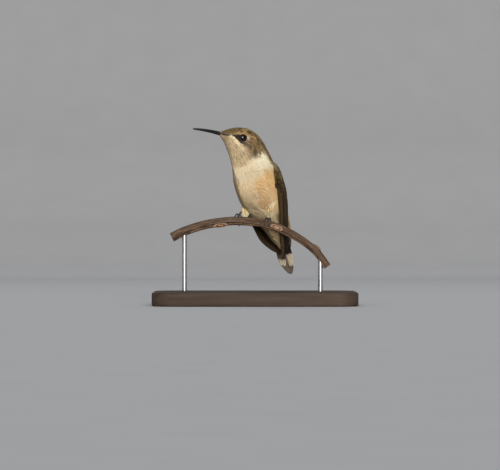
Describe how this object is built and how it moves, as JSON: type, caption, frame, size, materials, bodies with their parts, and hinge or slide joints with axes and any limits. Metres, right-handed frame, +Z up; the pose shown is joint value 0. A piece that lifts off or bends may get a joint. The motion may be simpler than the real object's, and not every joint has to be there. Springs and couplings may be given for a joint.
{
  "type": "hummingbird",
  "caption": "Still, life-size hummingbird gripping a short arched length of twig, wings folded and head turned, held by a flat base and thin rods.",
  "frame": {"origin": "middle of the display stand's underside, on the surface it stands on", "axes": "+X along the twig, towards the bird's left side; +Y away from the bird's breast, towards its tail; +Z up"},
  "size_m": [0.104, 0.064, 0.0905],
  "materials": {
    "head_plumage": "soft matt, overlapping contour feathers, dark centres and buff fringes",
    "body_plumage": "soft matt, loose contour feathers, cream with warm buff flanks",
    "rump_plumage": "satin, bronze-green feathers with cinnamon-buff fringes",
    "thigh_plumage": "soft matt, fluffy",
    "wing_coverts": "satin, bronze-green to grey-brown, buff fringes",
    "wing_quills": "satin, blackish brown with thin pale edges",
    "tail_feathers": "satin, grey-green with black bands and white tips",
    "bill": "satin horn, black",
    "eye": "wet gloss, near black",
    "foot": "small scales, dark grey",
    "claw": "satin horn",
    "bark": "rough grey-brown bark with fissures and leaf scars",
    "plinth": "dark stained, satin, softened edges",
    "rod": "brushed"
  },
  "bodies": {
    "root": {"bill_lower": "bill", "bill_upper": "bill", "claw_left_hind": "claw", "claw_left_inner": "claw", "claw_left_middle": "claw", "claw_left_outer": "claw", "claw_right_hind": "claw", "claw_right_inner": "claw", "claw_right_middle": "claw", "claw_right_outer": "claw", "eye_left": "eye", "eye_right": "eye", "head": "head_plumage", "leg_left": "foot", "leg_right": "foot", "neck": "body_plumage", "perch": "bark", "rump": "rump_plumage", "stand_base": "plinth", "stand_rod_left": "rod", "stand_rod_right": "rod", "tail": "tail_feathers", "thigh_left": "thigh_plumage", "thigh_right": "thigh_plumage", "trunk": "body_plumage", "wing_left_coverts": "wing_coverts", "wing_left_quills": "wing_quills", "wing_right_coverts": "wing_coverts", "wing_right_quills": "wing_quills"}
  },
  "joints": []
}
